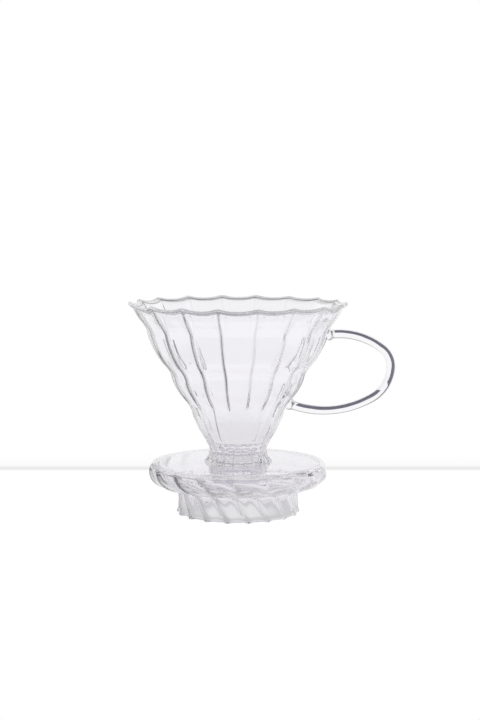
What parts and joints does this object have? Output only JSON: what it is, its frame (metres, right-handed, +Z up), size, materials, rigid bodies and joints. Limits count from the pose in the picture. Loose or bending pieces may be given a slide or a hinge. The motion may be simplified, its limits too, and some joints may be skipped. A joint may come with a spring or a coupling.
{
  "type": "pour over dripper",
  "caption": "Clear glass pour-over cone dripper with fluted walls, a scalloped rim, a flat disc base with a swirl-ribbed skirt and a loop rod handle.",
  "frame": {"origin": "centre of the circle that the foot lip stands on, on the dripper's vertical axis", "axes": "+Z up along the dripper's axis, +X towards the handle, +Y to the left of the handle seen from above with the handle pointing away"},
  "size_m": [0.1404, 0.114, 0.1114],
  "materials": {
    "blown_glass": "clear blown borosilicate, mould-rippled, glossy",
    "polished_glass": "clear fire-polished glass",
    "plate_glass": "clear flat glass, faint streaks",
    "ribbed_glass": "clear blown glass with swirled ribs",
    "rod_glass": "clear drawn glass rod, fire polished"
  },
  "bodies": {
    "root": {"filter_cone": "blown_glass", "rim_bead": "polished_glass", "neck_collar": "blown_glass", "base_plate": "plate_glass", "base_roll": "ribbed_glass", "server_skirt": "ribbed_glass", "foot_lip": "polished_glass", "drip_spout": "plate_glass", "handle_rod": "rod_glass", "upper_handle_weld": "rod_glass", "lower_handle_weld": "rod_glass"}
  },
  "joints": []
}
